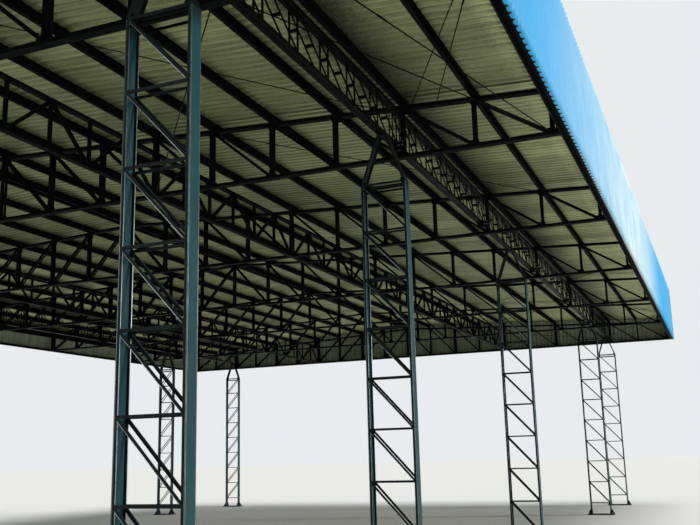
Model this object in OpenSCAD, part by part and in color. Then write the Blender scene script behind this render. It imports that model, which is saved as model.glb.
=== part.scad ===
// Steel yard canopy: lattice trusses on two lattice girders, carried by laced columns,
// with a double-pitch sheet roof and a deep sheet fascia all round.
// Millimetres. X across the canopy, Y along it, Z up from the ground.

/* [Plan] */
// Spacing of the roof trusses
bay = 6000; // [4800:100:6200]
// How far the roof runs on past the first truss at the near end
near_overhang = 1800; // [1300:50:2000]
// Length of one truss panel, measured across the canopy
panel = 1280; // [1100:10:1400]

/* [Levels] */
// Height of the centre of the bottom chords above the ground
chord_level = 7490; // [6500:10:9000]
// Depth of a truss at its tip, centre to centre of the chords
tip_depth = 760; // [600:10:1000]
// Fall of the roof towards the long sides, in degrees
roof_fall = 2.95; // [1:0.05:5]

/* [Trusses] */
// Width of a truss chord, along the canopy
chord_w = 140; // [100:5:180]
// Depth of a truss chord
chord_h = 60; // [50:5:80]
// How far the chords run on past the last upright
tip_over = 60; // [50:5:90]
// Width of the upright web bars, which stand in pairs on the two faces of the chords
post_w = 60; // [40:5:90]
// Width of the sloping web bars
brace_w = 46; // [30:2:70]
// Thickness of the web bars, along the canopy
web_t = 16; // [10:2:30]

/* [Purlins] */
// Depth of a purlin
purlin_h = 160; // [120:5:220]
// Width of a purlin
purlin_w = 70; // [50:5:90]
// Thickness of the purlin and rail steel
section_t = 12; // [6:1:16]
// Depth of the edge beam between the truss tips
edge_beam_h = 240; // [180:10:300]

/* [Girders] */
// How far a girder's centre stands inside the second upright of the trusses
girder_in = 160; // [130:5:200]
// Height of a girder's underside above that of the trusses
girder_lift = 240; // [180:10:300]
// Width of a girder over its two lattice sides
girder_w = 140; // [120:5:160]
// Depth of a girder chord
girder_chord_h = 50; // [40:5:60]
// Width of the girder's upright bars
girder_post_w = 40; // [30:2:60]
// Width of the girder's sloping bars
girder_brace_w = 30; // [24:2:44]
// Thickness of the girder's web bars, across the canopy
girder_web_t = 16; // [10:2:24]

/* [Tie trusses] */
// Depth of the tie trusses along the canopy, centre to centre of their chords
tie_depth = 850; // [600:10:900]
// Width of the tie truss chords
tie_chord_w = 110; // [80:5:140]
// Width and thickness of the tie truss web bars
tie_bar_w = 56; // [40:2:70]

/* [Columns] */
// How far the first and the fourth column stand before a truss
column_lead = 1000; // [800:50:1200]
// How far the second and the last column stand before a truss
short_lead = 600; // [400:50:800]
// Width of a column over its two legs
column_w = 780; // [700:10:820]
// Depth of a leg channel, along the canopy
leg_h = 180; // [140:5:220]
// Width of the leg flanges
leg_flange = 40; // [30:5:60]
// Thickness of the leg steel and of the lacing in front of and behind the legs
leg_t = 12; // [8:1:16]
// Height of one laced panel of a column
lace_panel = 800; // [700:10:820]
// Width of the struts and braces between the legs
lace_w = 30; // [24:2:50]
// Height of the tapered head below the girder
head_h = 850; // [700:10:950]
// Length of a base plate, across the canopy
base_l = 1000; // [920:10:1100]
// Width of a base plate, along the canopy
base_w = 420; // [320:10:500]
// Thickness of the base and cap plates
plate_t = 30; // [20:1:40]

/* [Roof and fascia] */
// Overall depth of the profiled sheets
sheet_t = 50; // [40:1:60]
// Height of the fascia
fascia_h = 2380; // [2100:10:2600]
// Depth of the fascia posts; those of the long sides are as wide as a truss chord
post_depth = 60; // [50:5:90]
// Depth of the fascia rails, between the posts and the sheets
rail_w = 130; // [100:5:150]
// Height of the fascia rails
rail_h = 80; // [60:5:100]
// Width of the lips under a rail
lip_w = 30; // [24:1:36]

/* [Hidden] */
bays = 6;
half_panels = 10;
girder_panels = 6;
girder_panel = bay / girder_panels;
half_w = half_panels * panel;
run = near_overhang + bays * bay;
near_y = -run / 2;
far_y = run / 2;
first_y = near_y + near_overhang;
truss_y = [near_y, for (i = [0 : bays]) first_y + i * bay];
fall = tan(roof_fall);
under = chord_level - chord_h / 2;
girder_x = half_w - 2 * panel - girder_in;
tie_x = half_w - 6 * panel;
column_y = [
    first_y - column_lead,
    first_y + bay - short_lead,
    first_y + 2.5 * bay,
    first_y + 5 * bay - column_lead,
    first_y + 6 * bay - short_lead
];
girder_under = under + girder_lift;
head_x = (girder_w + leg_flange) / 2;
side_gap = 10;
bend_z = girder_under - head_h;
lace_panels = floor((bend_z - plate_t - 200) / lace_panel);
web_x = half_w + post_w / 2;
tip_x = half_w + tip_over;
rail_x = tip_x + post_depth;
sheet_x = rail_x + rail_w;
end_y = chord_w / 2 + post_depth;
steel = [0.16, 0.27, 0.31];
sheet_blue = [0.45, 0.68, 0.86];
zinc = [0.62, 0.64, 0.58];

// Height of the centre line of the top chord at a distance x from the middle.
function top_z(x) = chord_level + tip_depth + (half_w - abs(x)) * fall;

// Unit vector across the edge a-b, pointing to its left.
function across(a, b) = [a[1] - b[1], b[0] - a[0]] / norm(b - a);

// Crossing of two lines, each given by a point and a direction.
function crossing(p, u, q, v) =
    p + u * ((q - p)[0] * v[1] - (q - p)[1] * v[0]) / (u[0] * v[1] - u[1] * v[0]);

// A convex loop, given anticlockwise, with each edge moved inwards by its own amount.
function inset(loop, by) = [
    for (i = [0 : len(loop) - 1])
        let (n = len(loop), h = (i + n - 1) % n, j = (i + 1) % n)
        crossing(
            loop[h] + across(loop[h], loop[i]) * by[h], loop[i] - loop[h],
            loop[i] + across(loop[i], loop[j]) * by[i], loop[j] - loop[i]
        )
];

// A flat frame: an outline with a list of holes.
module frame_2d(outline, holes) {
    loops = concat([outline], holes);
    starts = [for (i = 0, s = 0; i < len(loops); s = s + len(loops[i]), i = i + 1) s];
    polygon(
        [for (l = loops) each l],
        [for (i = [0 : len(loops) - 1]) [for (k = [0 : len(loops[i]) - 1]) starts[i] + k]]
    );
}

// Stands a drawing of X and Z upright, t thick and centred on y = 0.
module upright(t) {
    translate([0, t / 2, 0])
        rotate([90, 0, 0])
            linear_extrude(t)
                children();
}

// Stands a drawing of Y and Z upright, t thick and centred on x = 0.
module upright_along(t) {
    translate([-t / 2, 0, 0])
        rotate([90, 0, 90])
            linear_extrude(t)
                children();
}

// The two openings of one truss panel, either side of its brace.
function panel_holes(i) =
    let (
        out = half_w - i * panel, inn = out - panel,
        c = chord_h / 2, p = post_w / 2, b = brace_w / 2
    )
    [
        inset([[inn, chord_level], [out, chord_level], [inn, top_z(inn)]], [c, b, p]),
        inset([[inn, top_z(inn)], [out, chord_level], [out, top_z(out)]], [b, p, c])
    ];

function flipped(loop) = [for (i = [len(loop) - 1 : -1 : 0]) [-loop[i][0], loop[i][1]]];

// A roof truss: a lattice on the near face of its two chords and one on the far face.
module truss() {
    c = chord_h / 2;
    right = [for (i = [0 : half_panels - 1]) each panel_holes(i)];
    outline = [
        [-web_x, chord_level - c], [web_x, chord_level - c], [web_x, top_z(web_x) + c],
        [0, top_z(0) + c], [-web_x, top_z(web_x) + c]
    ];
    color(steel) {
        for (y = [-1, 1])
            translate([0, y * (chord_w - web_t) / 2, 0])
                upright(web_t)
                    frame_2d(outline, concat(right, [for (l = right) flipped(l)]));
        upright(chord_w) {
            polygon([
                [-tip_x, chord_level - c], [tip_x, chord_level - c],
                [tip_x, chord_level + c], [-tip_x, chord_level + c]
            ]);
            polygon([
                [tip_x, top_z(tip_x) - c], [tip_x, top_z(tip_x) + c], [0, top_z(0) + c],
                [-tip_x, top_z(tip_x) + c], [-tip_x, top_z(tip_x) - c], [0, top_z(0) - c]
            ]);
        }
    }
}

// Stretches of a girder between the trusses, as [start, end, number of panels].
stretches = [
    for (i = [0 : len(truss_y) - 2])
        [truss_y[i], truss_y[i + 1], round((truss_y[i + 1] - truss_y[i]) / girder_panel)]
];

// The two openings of a lattice panel from a to e, with a brace that falls or rises along Y.
function web_holes(a, e, low, high, c, b, p, rising) =
    rising
    ? [
        inset([[a, low], [e, low], [e, high]], [c, p, b]),
        inset([[a, low], [e, high], [a, high]], [b, c, p])
    ]
    : [
        inset([[a, low], [e, low], [a, high]], [c, b, p]),
        inset([[a, high], [e, low], [e, high]], [b, p, c])
    ];

// One flat lattice between two trusses, drawn in Y and Z, with its chords at the heights low and
// high. With zigzag, every second brace rises.
module stretch_2d(s, low, high, chord, post, brace, zigzag = false) {
    c = chord / 2;
    p = post / 2;
    b = brace / 2;
    step = (s[1] - s[0]) / s[2];
    holes = [
        for (k = [0 : s[2] - 1])
            let (
                a = s[0] + k * step + (k == 0 ? chord_w / 2 : 0),
                e = s[0] + (k + 1) * step - (k == s[2] - 1 ? chord_w / 2 : 0)
            )
            each web_holes(a, e, low, high, c, b, p, zigzag && k % 2 == 0)
    ];
    frame_2d([
        [s[0] + chord_w / 2, low - c], [s[1] - chord_w / 2, low - c],
        [s[1] - chord_w / 2, high + c], [s[0] + chord_w / 2, high + c]
    ], holes);
}

// A chord along the canopy between two trusses, w wide and h deep, centred at the height z.
module stretch_chord(s, z, w, h) {
    translate([-w / 2, s[0] + chord_w / 2, z - h / 2])
        cube([w, s[1] - s[0] - chord_w, h]);
}

// Centre heights of a girder's chords; the top chord stays below the purlins.
girder_low = girder_under + girder_chord_h / 2;
girder_high = top_z(girder_x + girder_w / 2) + (chord_h - girder_chord_h) / 2;

// One side of a girder: half of each chord, with the web bars on its outer face. The outer side
// has side = 1 and the inner side has side = -1.
module girder_side(side) {
    w = (girder_w - side_gap) / 2;
    color(steel)
        for (s = stretches)
            translate([girder_x, 0, 0]) {
                translate([side * (girder_w - girder_web_t) / 2, 0, 0])
                    upright_along(girder_web_t)
                        stretch_2d(
                            s, girder_low, girder_high, girder_chord_h, girder_post_w, girder_brace_w
                        );
                translate([side * (girder_w - w) / 2, 0, 0])
                    for (z = [girder_low, girder_high])
                        stretch_chord(s, z, w, girder_chord_h);
            }
}

// Short ties between a girder's two sides, half-way up: one at each upright and one at the
// middle of each sloping bar.
module girder_battens() {
    gap = girder_w - 2 * girder_web_t;
    middle = (girder_low + girder_high) / 2;
    color(steel)
        for (s = stretches, k = [1 : 2 * s[2] - 1])
            translate([
                girder_x - gap / 2,
                s[0] + k * (s[1] - s[0]) / s[2] / 2 - girder_post_w / 2,
                middle - girder_post_w / 2
            ])
                cube([gap, girder_post_w, girder_post_w]);
}

// A flat lattice along the canopy between the trusses, lower than they are.
module tie_truss() {
    high = chord_level + tie_depth;
    color(steel)
        for (s = stretches)
            translate([tie_x, 0, 0]) {
                upright_along(tie_bar_w)
                    stretch_2d(s, chord_level, high, chord_h, tie_bar_w, tie_bar_w, true);
                for (z = [chord_level, high])
                    stretch_chord(s, z, tie_chord_w, chord_h);
            }
}

// Outer edge of a column leg, from the base plate to the girder.
function leg_line(in) = [
    [column_w / 2 - in, plate_t], [column_w / 2 - in, bend_z],
    [head_x - in, girder_under - plate_t / 2]
];

module leg_2d(t) {
    inner = leg_line(t);
    outer = leg_line(0);
    polygon(concat(outer, [for (i = [2 : -1 : 0]) inner[i]]));
}

// Openings between the legs: a braced panel gives two, the foot and the head one each.
function column_holes() =
    let (x = column_w / 2 - leg_flange / 2, f = leg_flange / 2, s = lace_w / 2)
    concat(
        [
            for (k = [0 : lace_panels - 1])
                let (hi = bend_z - k * lace_panel, lo = hi - lace_panel)
                each [
                    inset([[-x, lo], [x, lo], [-x, hi]], [s, s, f]),
                    inset([[-x, hi], [x, lo], [x, hi]], [s, f, s])
                ]
        ],
        [
            inset([
                [-x, plate_t], [x, plate_t],
                [x, bend_z - lace_panels * lace_panel], [-x, bend_z - lace_panels * lace_panel]
            ], [leg_t, f, s, f]),
            inset([
                [-x, bend_z], [x, bend_z],
                [girder_w / 2, girder_under - plate_t / 2],
                [-girder_w / 2, girder_under - plate_t / 2]
            ], [s, f, leg_t, f])
        ]
    );

// A laced column: two channel legs, open towards each other, that lean in to the girder, with
// one lattice of struts and braces in line with their near flanges and one with their far ones.
module column(i) {
    outer = leg_line(0);
    color(steel)
        translate([girder_x, column_y[i], 0]) {
            for (y = [-1, 1])
                translate([0, y * (leg_h - leg_t) / 2, 0])
                    upright(leg_t)
                        frame_2d(
                            concat(outer, [for (k = [2 : -1 : 0]) [-outer[k][0], outer[k][1]]]),
                            column_holes()
                        );
            for (side = [0, 1])
                mirror([side, 0, 0])
                    upright(leg_h)
                        leg_2d(leg_t);
            translate([-base_l / 2, -base_w / 2, 0])
                cube([base_l, base_w, plate_t]);
            translate([-head_x, -leg_h / 2, girder_under - plate_t / 2])
                cube([2 * head_x, leg_h, plate_t / 2]);
        }
}

// A channel section with its back at x = 0 and its flanges towards +X.
module channel_2d(w, h, t) {
    polygon([[0, 0], [w, 0], [w, t], [t, t], [t, h - t], [w, h - t], [w, h], [0, h]]);
}

// Places children in the plane of the right-hand roof slope, on top of the trusses.
module on_slope() {
    translate([0, 0, top_z(0) + chord_h / 2])
        rotate([0, roof_fall, 0])
            children();
}

// A channel section with lips, open downwards.
module rail_2d() {
    t = section_t;
    polygon([
        [0, 0], [lip_w, 0], [lip_w, t], [t, t], [t, rail_h - t], [rail_w - t, rail_h - t],
        [rail_w - t, t], [rail_w - lip_w, t], [rail_w - lip_w, 0], [rail_w, 0], [rail_w, rail_h], [0, rail_h]
    ]);
}

module purlins() {
    length = run + chord_w;
    color(steel)
        on_slope()
            for (i = [0 : half_panels])
                translate([
                    i == half_panels ? purlin_w : (half_w - i * panel) / cos(roof_fall) - purlin_w / 2,
                    far_y + chord_w / 2,
                    0
                ])
                    rotate([90, 0, 0])
                        linear_extrude(length)
                            channel_2d(purlin_w, purlin_h, section_t);
}

module edge_beam() {
    top = top_z(tip_x);
    color(steel)
        for (s = stretches)
            translate([half_w - purlin_w / 2, s[1] - chord_w / 2, top + chord_h / 2 - edge_beam_h])
                rotate([90, 0, 0])
                    linear_extrude(s[1] - s[0] - chord_w)
                        channel_2d(purlin_w, edge_beam_h, section_t);
}

module roof_sheets() {
    start = -purlin_h * tan(roof_fall);
    end = (tip_x - 3 - (purlin_h + sheet_t) * sin(roof_fall)) / cos(roof_fall);
    color(zinc)
        on_slope()
            translate([start, near_y - chord_w / 2, purlin_h])
                cube([end - start, run + chord_w, sheet_t]);
}

module side_fascia_posts() {
    color(steel)
        for (y = truss_y)
            translate([tip_x, y - chord_w / 2, under])
                cube([post_depth, chord_w, fascia_h]);
}

// Centre heights of the fascia rails.
rail_z = [
    under + rail_h / 2,
    top_z(0) + purlin_h + sheet_t + 2 * rail_h,
    under + fascia_h - rail_h / 2
];

module side_fascia_rails() {
    color(steel)
        for (z = rail_z)
            translate([rail_x, far_y + end_y + rail_w, z - rail_h / 2])
                rotate([90, 0, 0])
                    linear_extrude(run + 2 * (end_y + rail_w))
                        rail_2d();
}

module side_fascia() {
    color(sheet_blue)
        translate([sheet_x, near_y - end_y - rail_w - sheet_t, under])
            cube([sheet_t, run + 2 * (end_y + rail_w + sheet_t), fascia_h]);
}

// The posts of an end fascia stand on the side of the end truss, at every second panel point,
// and the last ones are flush with the tips of its chords.
module end_fascia_posts() {
    color(steel)
        for (i = [0 : half_panels])
            translate([-half_w + 2 * i * panel - tip_over, far_y + chord_w / 2, under])
                cube([2 * tip_over, post_depth, fascia_h]);
}

module end_fascia_rails() {
    color(steel)
        for (z = rail_z)
            translate([-rail_x, far_y + end_y, z - rail_h / 2])
                rotate([90, 0, 90])
                    linear_extrude(2 * rail_x)
                        rail_2d();
}

module end_fascia() {
    color(sheet_blue)
        translate([-sheet_x, far_y + end_y + rail_w, under])
            cube([2 * sheet_x, sheet_t, fascia_h]);
}

module outer_side() {
    girder_side(1);
}

module inner_side() {
    girder_side(-1);
}

module flip_x() {
    mirror([1, 0, 0])
        children();
}

module flip_y() {
    mirror([0, 1, 0])
        children();
}

module truss_at(i) {
    translate([0, truss_y[i], 0])
        truss();
}

truss_at(0);  // end_truss
truss_at(1);  // truss_1
truss_at(2);  // truss_2
truss_at(3);  // truss_3
truss_at(4);  // truss_4
truss_at(5);  // truss_5
truss_at(6);  // truss_6
truss_at(7);  // truss_7
outer_side();  // right_girder_outer_side
inner_side();  // right_girder_inner_side
girder_battens();  // right_girder_battens
tie_truss();  // right_tie_truss
flip_x() outer_side();  // left_girder_outer_side
flip_x() inner_side();  // left_girder_inner_side
flip_x() girder_battens();  // left_girder_battens
flip_x() tie_truss();  // left_tie_truss
column(0);  // right_column_1
column(1);  // right_column_2
column(2);  // right_column_3
column(3);  // right_column_4
column(4);  // right_column_5
flip_x() column(0);  // left_column_1
flip_x() column(1);  // left_column_2
flip_x() column(2);  // left_column_3
flip_x() column(3);  // left_column_4
flip_x() column(4);  // left_column_5
purlins();  // right_purlins
flip_x() purlins();  // left_purlins
edge_beam();  // right_edge_beam
flip_x() edge_beam();  // left_edge_beam
roof_sheets();  // right_roof_sheets
flip_x() roof_sheets();  // left_roof_sheets
side_fascia_posts();  // right_fascia_posts
flip_x() side_fascia_posts();  // left_fascia_posts
flip_y() end_fascia_posts();  // near_fascia_posts
end_fascia_posts();  // far_fascia_posts
side_fascia_rails();  // right_fascia_rails
flip_x() side_fascia_rails();  // left_fascia_rails
flip_y() end_fascia_rails();  // near_fascia_rails
end_fascia_rails();  // far_fascia_rails
side_fascia();  // right_fascia
flip_x() side_fascia();  // left_fascia
flip_y() end_fascia();  // near_fascia
end_fascia();  // far_fascia
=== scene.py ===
"""Looks of a lattice steel yard canopy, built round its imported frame.

Sub-assemblies are classes with their sizes as fields. Bars, plates and sheets are surfaces worked
out with numpy, and finishes are procedural materials that read Object coordinates.
"""

import logging
import math
from dataclasses import dataclass
from enum import Enum
from itertools import product

import bpy
import numpy as np
from mathutils import Matrix, Vector

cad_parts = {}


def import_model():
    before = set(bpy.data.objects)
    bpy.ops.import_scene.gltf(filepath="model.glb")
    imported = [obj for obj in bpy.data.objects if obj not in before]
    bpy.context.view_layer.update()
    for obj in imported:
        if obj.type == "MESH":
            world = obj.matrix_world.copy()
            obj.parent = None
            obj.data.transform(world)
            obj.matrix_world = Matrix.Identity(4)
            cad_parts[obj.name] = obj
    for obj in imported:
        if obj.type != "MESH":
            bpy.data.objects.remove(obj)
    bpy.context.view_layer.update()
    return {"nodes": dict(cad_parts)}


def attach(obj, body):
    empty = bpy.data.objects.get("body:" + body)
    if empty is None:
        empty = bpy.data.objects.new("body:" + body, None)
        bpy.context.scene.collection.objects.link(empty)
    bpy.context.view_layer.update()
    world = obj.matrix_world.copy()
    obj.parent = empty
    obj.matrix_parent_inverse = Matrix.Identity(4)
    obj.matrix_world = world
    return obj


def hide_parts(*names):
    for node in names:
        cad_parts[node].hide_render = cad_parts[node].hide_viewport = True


LOG = logging.getLogger("canopy")
Colour = tuple[float, float, float]
Point = tuple[float, float, float]
Socket = bpy.types.NodeSocket

# Places of the colour sockets on a Mix node, which share their names with its other sockets.
MIX_FIRST, MIX_SECOND, MIX_RESULT = 6, 7, 2

# The two ways along an axis, and the directions of the three axes.
SIDES = (-1.0, 1.0)
X_WAY, Y_WAY, Z_WAY = np.eye(3)

# Half a millimetre, which keeps the faces of touching pieces apart.
HAIR = 0.0005


def srgb(red: int, green: int, blue: int) -> Colour:
    """Turns an 8-bit screen colour into a linear one.

    Args:
        red: Red from 0 to 255.
        green: Green from 0 to 255.
        blue: Blue from 0 to 255.

    Returns:
        The linear colour.
    """
    parts = np.array([red, green, blue]) / 255.0
    linear = np.where(parts <= 0.04045, parts / 12.92, ((parts + 0.055) / 1.055) ** 2.4)
    return tuple(float(v) for v in linear)


class Slot(Enum):
    """Material slots of the record."""

    STEEL = "painted_steel"
    ROOF = "roof_sheet"
    FASCIA = "fascia_sheet"


@dataclass(frozen=True)
class Plan:
    """Main sizes of the canopy in metres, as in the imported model."""

    bay: float = 6.0
    bays: int = 6
    overhang: float = 1.8
    panel: float = 1.28
    half_panels: int = 10
    chord_level: float = 7.49
    tip_depth: float = 0.76
    roof_fall: float = 2.95
    chord_w: float = 0.14
    chord_h: float = 0.06
    tip_over: float = 0.06
    post_w: float = 0.06
    brace_w: float = 0.046
    web_t: float = 0.016
    purlin_h: float = 0.16
    purlin_w: float = 0.07
    girder_in: float = 0.16
    girder_lift: float = 0.24
    girder_w: float = 0.14
    girder_chord_h: float = 0.05
    column_w: float = 0.78
    leg_h: float = 0.18
    leg_flange: float = 0.04
    leg_t: float = 0.012
    lace_panel: float = 0.8
    lace_w: float = 0.03
    head_h: float = 0.85
    plate_t: float = 0.03
    sheet_t: float = 0.05
    fascia_h: float = 2.38
    post_depth: float = 0.06
    rail_w: float = 0.13
    rail_h: float = 0.08

    @property
    def half_w(self) -> float:
        """Distance from the middle to the last panel point."""
        return self.half_panels * self.panel

    @property
    def run(self) -> float:
        """Distance between the first and the last truss."""
        return self.overhang + self.bays * self.bay

    @property
    def truss_y(self) -> np.ndarray:
        """Stations of the trusses along the canopy."""
        near = -self.run / 2
        return np.concatenate([[near], near + self.overhang + self.bay * np.arange(self.bays + 1)])

    @property
    def column_y(self) -> np.ndarray:
        """Stations of the columns along the canopy."""
        steps = np.array([0.0, self.bay, 2.5 * self.bay, 5 * self.bay, 6 * self.bay])
        return self.truss_y[1] + steps - np.array([1.0, 0.6, 0.0, 1.0, 0.6])

    @property
    def fall(self) -> float:
        """Fall of the roof as a ratio."""
        return math.tan(math.radians(self.roof_fall))

    @property
    def under(self) -> float:
        """Height of the underside of the bottom chords."""
        return self.chord_level - self.chord_h / 2

    @property
    def tip_x(self) -> float:
        """End of the truss chords."""
        return self.half_w + self.tip_over

    @property
    def rail_x(self) -> float:
        """Inner face of the fascia rails."""
        return self.tip_x + self.post_depth

    @property
    def sheet_x(self) -> float:
        """Inner face of the fascia sheets."""
        return self.rail_x + self.rail_w

    @property
    def girder_x(self) -> float:
        """Middle of a girder."""
        return self.half_w - 2 * self.panel - self.girder_in

    @property
    def girder_low(self) -> float:
        """Centre height of a girder's bottom chord."""
        return self.under + self.girder_lift + self.girder_chord_h / 2

    @property
    def bend_z(self) -> float:
        """Height at which the column legs bend inwards."""
        return self.under + self.girder_lift - self.head_h

    @property
    def lace_panels(self) -> int:
        """Number of braced panels of a column."""
        return int((self.bend_z - self.plate_t - 0.2) // self.lace_panel)

    @property
    def rail_z(self) -> np.ndarray:
        """Centre heights of the fascia rails."""
        middle = self.top_z(0.0) + self.purlin_h + self.sheet_t + 2 * self.rail_h
        low, high = self.under + self.rail_h / 2, self.under + self.fascia_h - self.rail_h / 2
        return np.array([low, middle, high])

    def top_z(self, x: float | np.ndarray) -> float | np.ndarray:
        """Height of the centre line of the top chord.

        Args:
            x: Distance from the middle, either way.

        Returns:
            The height, falling evenly from the middle.
        """
        return self.chord_level + self.tip_depth + (self.half_w - abs(x)) * self.fall


PLAN = Plan()


def spread(x: float | np.ndarray, y: float | np.ndarray, z: float | np.ndarray) -> np.ndarray:
    """Points in space from X, Y and Z, each one number for all or an array.

    Args:
        x: Distances across the canopy.
        y: Stations along it.
        z: Heights.

    Returns:
        The points, with X, Y and Z along the last axis.
    """
    return np.stack(np.broadcast_arrays(x, y, z), axis=-1)


def unit(ways: np.ndarray) -> np.ndarray:
    """Makes vectors one metre long.

    Args:
        ways: The vectors, along the last axis.

    Returns:
        Vectors of the same direction.
    """
    return ways / np.linalg.norm(ways, axis=-1, keepdims=True)


class Shape:
    """A growing mesh: rows of points and the faces over them."""

    def __init__(self) -> None:
        """Starts with no points."""
        self.points: list[np.ndarray] = []
        self.loops: list[np.ndarray] = []
        self.totals: list[np.ndarray] = []
        # Material of each face: 0 for the finish, 1 for the lining.
        self.kinds: list[np.ndarray] = []
        self.count = 0

    def add(self, points: np.ndarray, faces: np.ndarray) -> None:
        """Adds points and faces that all have the same number of corners.

        Args:
            points: Points, one a row.
            faces: Corners of each face, one face a row, numbered within these points.
        """
        self.points.append(points.reshape(-1, 3))
        self.count += len(self.points[-1])
        self.over(faces)

    def over(self, faces: np.ndarray) -> None:
        """Adds faces over the points that were added last.

        Args:
            faces: Corners of each face, numbered within the last points.
        """
        base = self.count - len(self.points[-1])
        self.loops.append(faces.reshape(-1) + base)
        self.totals.append(np.full(faces.shape[0], faces.shape[1]))
        self.kinds.append(np.zeros(faces.shape[0], int))

    def stacks(self, grid: np.ndarray) -> None:
        """Adds closed pieces: the rings of each are joined by quads and its two ends are capped.

        Args:
            grid: Points, pieces x rings x points x 3, each ring anticlockwise as seen from the
                last ring's side.
        """
        m, r, k = grid.shape[:3]
        near = np.arange(k)
        after = np.roll(near, -1)
        quads = np.stack([near, after, after + k, near + k], axis=1)
        quads = np.concatenate([quads + j * k for j in range(r - 1)])
        step = (np.arange(m) * r * k)[:, None, None]
        self.add(grid, (quads[None] + step).reshape(-1, 4))
        caps = np.stack([near[::-1], near + (r - 1) * k])
        self.over((caps[None] + step).reshape(-1, k))

    def prisms(
        self, profile: np.ndarray, starts: np.ndarray, ends: np.ndarray, side: np.ndarray
    ) -> None:
        """Adds straight bars of one section.

        A point is start or end + u * side + v * (along x side), where (u, v) runs round the
        section anticlockwise and along is the bar's direction.

        Args:
            profile: Section as (u, v), anticlockwise.
            starts: Start of each bar.
            ends: End of each bar.
            side: Direction of u for each bar, or one for all.
        """
        starts, ends = np.broadcast_arrays(np.atleast_2d(starts), np.atleast_2d(ends))
        along = unit(ends - starts)
        u = np.broadcast_to(np.atleast_2d(side), starts.shape).astype(float)
        u = unit(u - along * (u * along).sum(1, keepdims=True))
        v = np.cross(along, u)
        ring = profile[None, :, :1] * u[:, None, :] + profile[None, :, 1:] * v[:, None, :]
        self.stacks(np.stack([starts[:, None, :] + ring, ends[:, None, :] + ring], axis=1))

    def rings(
        self, heights: np.ndarray, rings: np.ndarray, centres: np.ndarray, axis: np.ndarray
    ) -> None:
        """Adds small turned or hexagonal pieces, such as bolt heads.

        A point is centre + height * axis + the ring's (u, v) in the plane across the axis.

        Args:
            heights: Height of each ring along the axis.
            rings: Points (u, v) of each ring, anticlockwise, rings x points x 2.
            centres: Seat of each piece.
            axis: Direction of each piece, or one for all.
        """
        centres = np.atleast_2d(centres)
        w = unit(np.broadcast_to(np.atleast_2d(axis), centres.shape).astype(float))
        spare = np.where(np.abs(w[:, :1]) < 0.9, X_WAY, Y_WAY)
        u = unit(np.cross(spare, w))
        v = np.cross(w, u)
        self.stacks(
            centres[:, None, None, :]
            + heights[None, :, None, None] * w[:, None, None, :]
            + rings[None, :, :, :1] * u[:, None, None, :]
            + rings[None, :, :, 1:] * v[:, None, None, :]
        )

    def slabs(self, outline: np.ndarray, normal: np.ndarray, thick: float) -> None:
        """Adds flat plates of any outline, each a given distance thick about its drawn plane.

        Args:
            outline: Corners of each plate in space, plates x corners x 3, anticlockwise from the
                side that the normal points to.
            normal: Direction across the plates.
            thick: Thickness of the plates.
        """
        half = normal * thick / 2
        self.stacks(np.stack([outline - half, outline + half], axis=1))

    def shell(self, outer: np.ndarray, inner: np.ndarray) -> None:
        """Adds a thin closed sheet between two grids of points.

        The faces of the outer grid point along d(row) x d(column), the inner ones the other way,
        and four strips close the edges. The inner faces and the strips take the lining.

        Args:
            outer: Points of the outer face, rows x columns x 3.
            inner: Points of the inner face, of the same shape.
        """
        n, m = outer.shape[:2]
        index = np.arange(n * m).reshape(n, m)
        a, b = index[:-1, :-1], index[1:, :-1]
        c, d = index[1:, 1:], index[:-1, 1:]
        top = np.stack([a, b, c, d], axis=-1).reshape(-1, 4)
        bottom = top[:, ::-1] + n * m
        edge = np.concatenate([index[:, 0], index[-1, 1:], index[-2::-1, -1], index[0, -2:0:-1]])
        after = np.roll(edge, -1)
        walls = np.stack([after, edge, edge + n * m, after + n * m], axis=1)
        points = np.concatenate([outer.reshape(-1, 3), inner.reshape(-1, 3)])
        self.add(points, np.concatenate([top, bottom, walls]))
        self.kinds[-1][len(top):] = 1

    def piece(
        self,
        name: str,
        finish: bpy.types.Material,
        slot: Slot,
        *stands_for: str,
        lining: bpy.types.Material | None = None,
    ) -> bpy.types.Object:
        """Makes the mesh an object that rides on the canopy.

        Args:
            name: Name of the piece.
            finish: Its material.
            slot: The record's slot for its finish; not used.
            *stands_for: CAD nodes that it stands for.
            lining: Material of the inner faces of its sheets, or none for the same one.

        Returns:
            The new object, at the origin.
        """
        points = np.concatenate(self.points)
        loops = np.concatenate(self.loops).astype(np.int32)
        totals = np.concatenate(self.totals).astype(np.int32)
        mesh = bpy.data.meshes.new(name)
        mesh.vertices.add(len(points))
        mesh.vertices.foreach_set("co", points.astype(np.float32).reshape(-1))
        mesh.loops.add(len(loops))
        mesh.loops.foreach_set("vertex_index", loops)
        mesh.polygons.add(len(totals))
        starts = np.concatenate([[0], np.cumsum(totals)[:-1]]).astype(np.int32)
        mesh.polygons.foreach_set("loop_start", starts)
        mesh.materials.append(finish)
        if lining is not None:
            mesh.materials.append(lining)
            mesh.polygons.foreach_set("material_index", np.concatenate(self.kinds).astype(np.int32))
        mesh.update(calc_edges=True)
        mesh.validate()
        obj = bpy.data.objects.new(name, mesh)
        bpy.context.scene.collection.objects.link(obj)
        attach(obj, "root")
        if stands_for:
            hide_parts(*stands_for)
        LOG.info("%s: %d faces", name, len(totals))
        return obj


def box_profile(left: float, right: float, height: float) -> np.ndarray:
    """Corners of a rectangle with its middle height at v = 0, anticlockwise.

    Args:
        left: Left side.
        right: Right side.
        height: Height.

    Returns:
        Four corners as (u, v).
    """
    v = height / 2
    return np.array([[left, -v], [right, -v], [right, v], [left, v]])


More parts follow.
